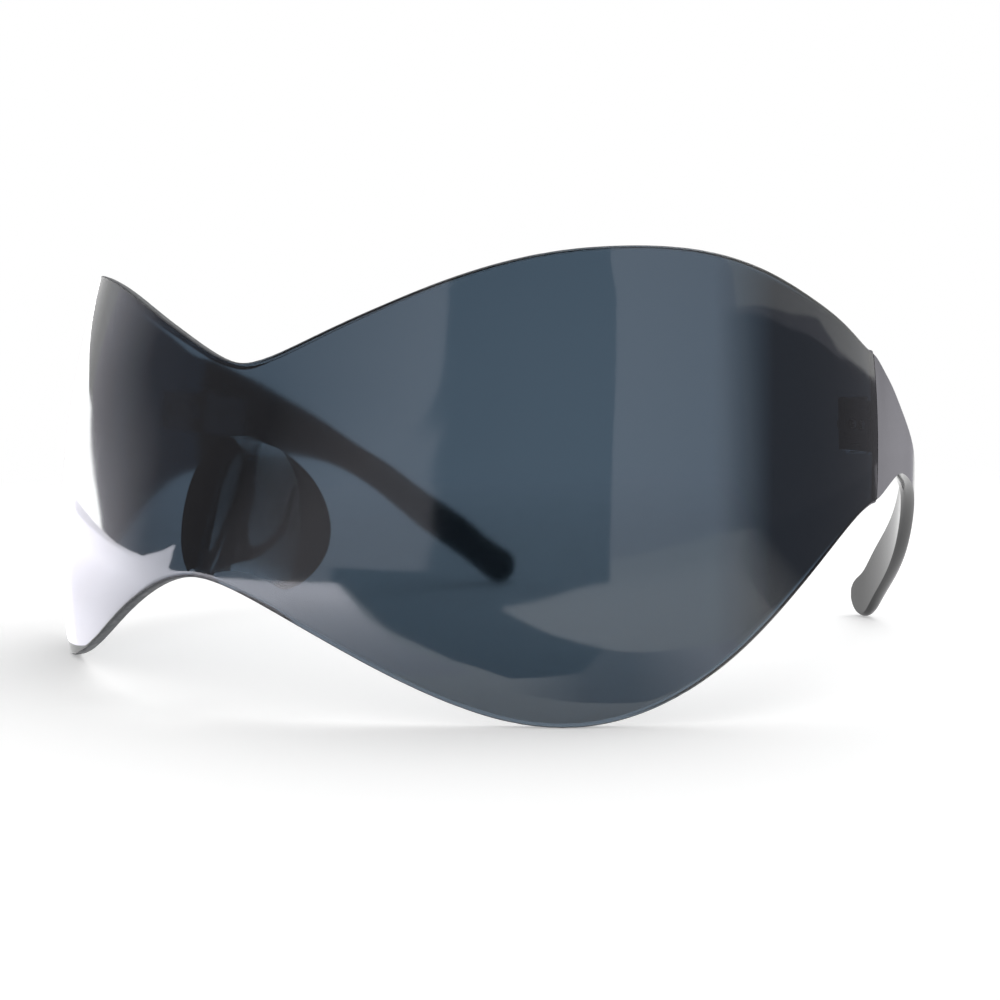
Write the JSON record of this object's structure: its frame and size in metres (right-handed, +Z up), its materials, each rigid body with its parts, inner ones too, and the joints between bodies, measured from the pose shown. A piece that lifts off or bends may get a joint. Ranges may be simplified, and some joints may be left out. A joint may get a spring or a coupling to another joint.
{
  "type": "shield sunglasses",
  "caption": "Rimless wrap-around shield sunglasses: a one-piece smoke shield in deep lobes, a moulded nose saddle, and short temples that fold on small metal hinges.",
  "frame": {"origin": "middle of the underside of the open glasses, on the surface they stand on", "axes": "+X to the wearer's left, -Y the way the wearer faces, +Z up"},
  "size_m": [0.1468, 0.1306, 0.0637],
  "materials": {
    "smoke_lens": "polished tinted polycarbonate, see-through",
    "smoke_saddle": "moulded dark smoke plastic, see-through",
    "smoke_temple": "moulded dark smoke plastic, polished outside and satin inside",
    "hinge_steel": "dark nickel-plated steel"
  },
  "bodies": {
    "front": {"shield_lens": "smoke_lens", "nose_saddle": "smoke_saddle", "left_hinge_front_leaf": "hinge_steel", "left_hinge_screw": "hinge_steel", "left_front_leaf_studs": "hinge_steel", "right_hinge_front_leaf": "hinge_steel", "right_hinge_screw": "hinge_steel", "right_front_leaf_studs": "hinge_steel"},
    "left_arm": {"left_temple": "smoke_temple", "left_hinge_temple_leaf": "hinge_steel", "left_temple_leaf_studs": "hinge_steel"},
    "right_arm": {"right_temple": "smoke_temple", "right_hinge_temple_leaf": "hinge_steel", "right_temple_leaf_studs": "hinge_steel"}
  },
  "joints": [
    {"name": "left_temple_fold", "type": "hinge", "parent": "front", "child": "left_arm", "pos_m": [0.06888, 0.00118, 0.03816], "axis": [-0.0741, 0.0913, 0.9931], "range_deg": [0, 85]},
    {"name": "right_temple_fold", "type": "hinge", "parent": "front", "child": "right_arm", "pos_m": [-0.06888, 0.00118, 0.03816], "axis": [-0.0741, -0.0913, -0.9931], "range_deg": [0, 68]}
  ]
}
